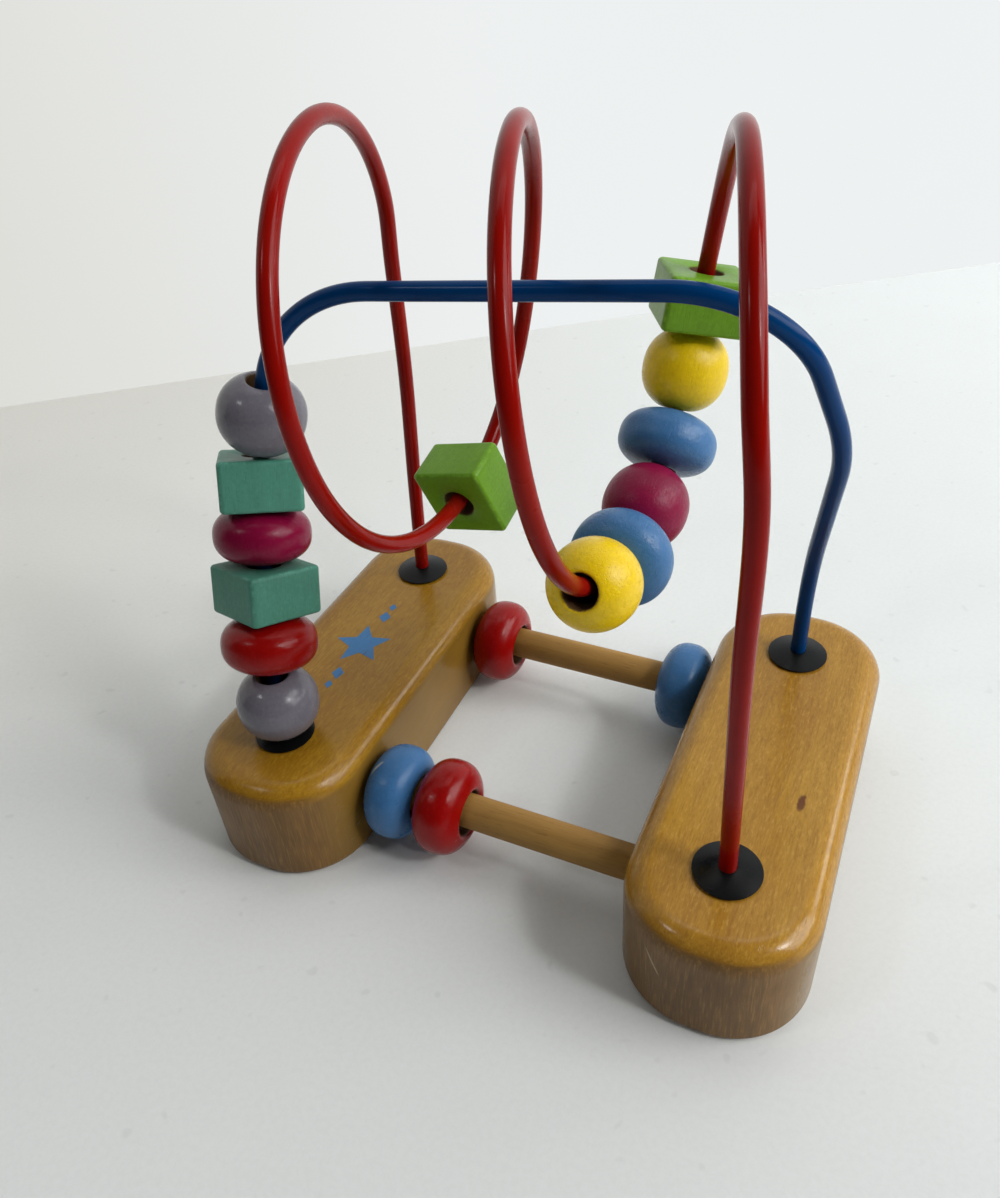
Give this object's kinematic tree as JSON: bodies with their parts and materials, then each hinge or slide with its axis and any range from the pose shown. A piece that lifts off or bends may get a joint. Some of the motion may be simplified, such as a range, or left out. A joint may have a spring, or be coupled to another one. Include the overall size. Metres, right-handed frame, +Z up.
{
  "type": "wooden bead maze toy",
  "caption": "Tabletop bead maze: a looped wire and an arched wire stand on a pair of rounded wood blocks joined by dowels, with painted wood beads that slide and spin along them.",
  "frame": {"origin": "on the table, midway between the blocks and midway along their length", "axes": "+X from the left block to the right block along the dowels, +Y from the front ends of the blocks to the rear ends, +Z up"},
  "size_m": [0.1644, 0.122, 0.1772],
  "materials": {
    "lacquered_wood": "satin",
    "bare_wood": "matt",
    "red_coating": "gloss",
    "blue_coating": "gloss",
    "black_plastic": "satin",
    "lavender_paint": "satin",
    "red_paint": "satin",
    "teal_paint": "satin",
    "magenta_paint": "satin",
    "green_paint": "satin",
    "yellow_paint": "satin",
    "blue_paint": "satin"
  },
  "bodies": {
    "frame": {"left_block": "lacquered_wood", "right_block": "lacquered_wood", "front_dowel": "bare_wood", "rear_dowel": "bare_wood", "red_wire": "red_coating", "blue_wire": "blue_coating", "front_left_cap": "black_plastic", "rear_left_cap": "black_plastic", "front_right_cap": "black_plastic", "rear_right_cap": "black_plastic"},
    "lavender_bead_lower": {"lavender_bead_lower": "lavender_paint"},
    "red_bead": {"red_bead": "red_paint"},
    "teal_block_lower": {"teal_block_lower": "teal_paint"},
    "magenta_bead_flat": {"magenta_bead_flat": "magenta_paint"},
    "teal_block_upper": {"teal_block_upper": "teal_paint"},
    "lavender_bead_upper": {"lavender_bead_upper": "lavender_paint"},
    "green_block_front": {"green_block_front": "green_paint"},
    "yellow_bead_lower": {"yellow_bead_lower": "yellow_paint"},
    "blue_bead_lower": {"blue_bead_lower": "blue_paint"},
    "magenta_bead_round": {"magenta_bead_round": "magenta_paint"},
    "blue_bead_upper": {"blue_bead_upper": "blue_paint"},
    "yellow_bead_upper": {"yellow_bead_upper": "yellow_paint"},
    "green_block_rear": {"green_block_rear": "green_paint"},
    "front_dowel_bead_blue": {"front_dowel_bead_blue": "blue_paint"},
    "front_dowel_bead_red": {"front_dowel_bead_red": "red_paint"},
    "rear_dowel_bead_red": {"rear_dowel_bead_red": "red_paint"},
    "rear_dowel_bead_blue": {"rear_dowel_bead_blue": "blue_paint"}
  },
  "joints": [
    {"name": "front_blue_slide", "type": "slide", "parent": "frame", "child": "front_dowel_bead_blue", "axis": [1, 0, 0], "range_m": [0, 0.0225]},
    {"name": "front_red_slide", "type": "slide", "parent": "front_dowel_bead_blue", "child": "front_dowel_bead_red", "axis": [1, 0, 0], "range_m": [0, 0.0225]},
    {"name": "rear_red_slide", "type": "slide", "parent": "frame", "child": "rear_dowel_bead_red", "axis": [1, 0, 0], "range_m": [0, 0.0225]},
    {"name": "rear_blue_slide", "type": "slide", "parent": "frame", "child": "rear_dowel_bead_blue", "axis": [-1, 0, 0], "range_m": [0, 0.0225]},
    {"name": "lavender_bead_lower_spin", "type": "hinge", "parent": "frame", "child": "lavender_bead_lower", "pos_m": [-0.05992, -0.03832, 0.04303], "axis": [-0.0178, 0.0747, 0.997], "continuous": true},
    {"name": "red_bead_spin", "type": "hinge", "parent": "frame", "child": "red_bead", "pos_m": [-0.06157, -0.03385, 0.0594], "axis": [-0.08, 0.3361, 0.9384], "continuous": true},
    {"name": "teal_block_lower_spin", "type": "hinge", "parent": "frame", "child": "teal_block_lower", "pos_m": [-0.06395, -0.02766, 0.07158], "axis": [-0.08, 0.3361, 0.9384], "continuous": true},
    {"name": "magenta_bead_flat_spin", "type": "hinge", "parent": "frame", "child": "magenta_bead_flat", "pos_m": [-0.06631, -0.02135, 0.08372], "axis": [-0.08, 0.3361, 0.9384], "continuous": true},
    {"name": "teal_block_upper_spin", "type": "hinge", "parent": "frame", "child": "teal_block_upper", "pos_m": [-0.0669, -0.01651, 0.09653], "axis": [-0.08, 0.3361, 0.9384], "continuous": true},
    {"name": "lavender_upper_travel", "type": "hinge", "parent": "frame", "child": "lavender_bead_upper", "pos_m": [-0.02313, -0.0124, 0.10375], "axis": [0, 0.9984, -0.057], "range_deg": [0, 60]},
    {"name": "green_front_travel", "type": "hinge", "parent": "frame", "child": "green_block_front", "pos_m": [-0.025, 0, 0.1298], "axis": [-0.9986, 0.0399, 0.0359], "range_deg": [-45, 55]},
    {"name": "green_block_rear_travel", "type": "hinge", "parent": "frame", "child": "green_block_rear", "pos_m": [0.0216, 0.00054, 0.12995], "axis": [-0.9991, 0.038, -0.021], "range_deg": [0, 7]},
    {"name": "yellow_bead_upper_travel", "type": "hinge", "parent": "green_block_rear", "child": "yellow_bead_upper", "pos_m": [0.0216, 0.00054, 0.12995], "axis": [-0.9991, 0.038, -0.021], "range_deg": [0, 7]},
    {"name": "blue_bead_upper_travel", "type": "hinge", "parent": "yellow_bead_upper", "child": "blue_bead_upper", "pos_m": [0.0216, 0.00054, 0.12995], "axis": [-0.9991, 0.038, -0.021], "range_deg": [0, 7]},
    {"name": "magenta_bead_round_travel", "type": "hinge", "parent": "blue_bead_upper", "child": "magenta_bead_round", "pos_m": [0.0216, 0.00054, 0.12995], "axis": [-0.9991, 0.038, -0.021], "range_deg": [0, 7]},
    {"name": "blue_bead_lower_travel", "type": "hinge", "parent": "magenta_bead_round", "child": "blue_bead_lower", "pos_m": [0.0216, 0.00054, 0.12995], "axis": [-0.9991, 0.038, -0.021], "range_deg": [0, 7]},
    {"name": "yellow_bead_lower_travel", "type": "hinge", "parent": "blue_bead_lower", "child": "yellow_bead_lower", "pos_m": [0.0216, 0.00054, 0.12995], "axis": [-0.9991, 0.038, -0.021], "range_deg": [0, 7]}
  ]
}
